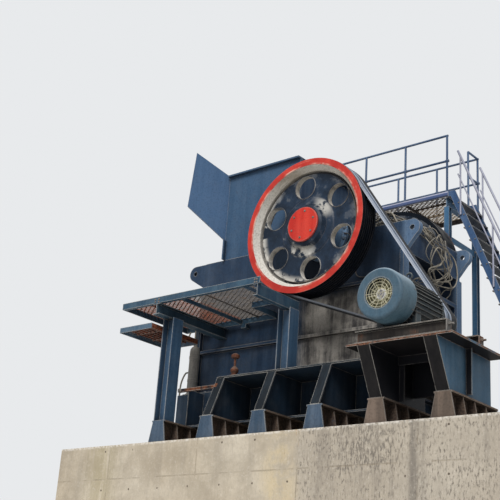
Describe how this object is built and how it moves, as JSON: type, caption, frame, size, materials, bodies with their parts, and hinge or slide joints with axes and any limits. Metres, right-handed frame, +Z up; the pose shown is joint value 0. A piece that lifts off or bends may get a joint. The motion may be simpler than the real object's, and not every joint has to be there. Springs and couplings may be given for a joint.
{
  "type": "jaw crusher",
  "caption": "Fixed jaw crusher on two concrete walls, with spoked belt wheel and flywheel, motor on an outrigger stand, V-belt drive, feed cheeks, service platform, walkway and stair.",
  "frame": {"origin": "on the ground, below the crankshaft, half way between the side plates", "axes": "+X from the feed end to the motor end, +Y away from the belt drive side, +Z up"},
  "size_m": [7.2, 4.85, 8.418],
  "materials": {
    "concrete": "weathered board-marked concrete",
    "base_paint": "dusty dark blue paint",
    "steelwork_paint": "grey blue paint with rusty edges",
    "body_paint": "blue paint with stone dust",
    "feed_paint": "lighter blue paint",
    "wheel_paint": "red rim face, dusty blue web",
    "hub_paint": "red paint",
    "motor_paint": "grey blue paint",
    "fan_paint": "dusty tan paint",
    "rusty_steel": "rust",
    "grating_steel": "rusty grating",
    "rail_paint": "pale grey blue paint",
    "manganese_steel": "worn bare casting",
    "shaft_steel": "machined",
    "belt_rubber": "dusty rubber",
    "pulley_iron": "dark paint"
  },
  "bodies": {
    "plant": {"near_foundation_wall": "concrete", "far_foundation_wall": "concrete", "near_pedestals": "base_paint", "far_pedestals": "base_paint", "near_base_girder": "base_paint", "far_base_girder": "base_paint", "base_cross_beams": "base_paint", "motor_stand": "steelwork_paint", "near_platform_frame": "steelwork_paint", "near_platform_posts": "steelwork_paint", "walkway_posts": "steelwork_paint", "walkway_frame": "steelwork_paint", "stair_sides": "steelwork_paint", "near_side_plate": "body_paint", "far_side_plate": "body_paint", "front_frame": "body_paint", "rear_frame": "body_paint", "near_hopper_side": "body_paint", "far_hopper_side": "body_paint", "hopper_back": "body_paint", "swing_jaw": "body_paint", "near_bearing_housing": "body_paint", "far_bearing_housing": "body_paint", "near_feed_cheek": "feed_paint", "far_feed_cheek": "feed_paint", "feed_plate": "feed_paint", "motor_frame": "motor_paint", "fan_cowl": "motor_paint", "motor_slide_rails": "rusty_steel", "tension_rods": "rusty_steel", "near_platform_grating": "grating_steel", "step_landing": "grating_steel", "walkway_grating": "grating_steel", "stair_treads": "grating_steel", "walkway_railing": "rail_paint", "stair_handrails": "rail_paint", "fixed_jaw_liner": "manganese_steel", "swing_jaw_liner": "manganese_steel", "toggle_plate": "manganese_steel", "v_belts": "belt_rubber"},
    "crank_rotor": {"crankshaft": "shaft_steel", "drive_wheel": "wheel_paint", "flywheel": "wheel_paint", "near_hub_cap": "hub_paint", "far_hub_cap": "hub_paint"},
    "motor_rotor": {"motor_shaft": "shaft_steel", "motor_fan": "fan_paint", "motor_pulley": "pulley_iron"}
  },
  "joints": [
    {"name": "crankshaft_spin", "type": "hinge", "parent": "plant", "child": "crank_rotor", "pos_m": [0, 0, 6.07], "axis": [0, 1, 0], "continuous": true},
    {"name": "motor_spin", "type": "hinge", "parent": "plant", "child": "motor_rotor", "pos_m": [2.03, -2, 4.41], "axis": [0, 1, 0], "continuous": true}
  ],
  "couplings": [
    {"joint": "motor_spin", "follows": "crankshaft_spin", "ratio": 5}
  ]
}
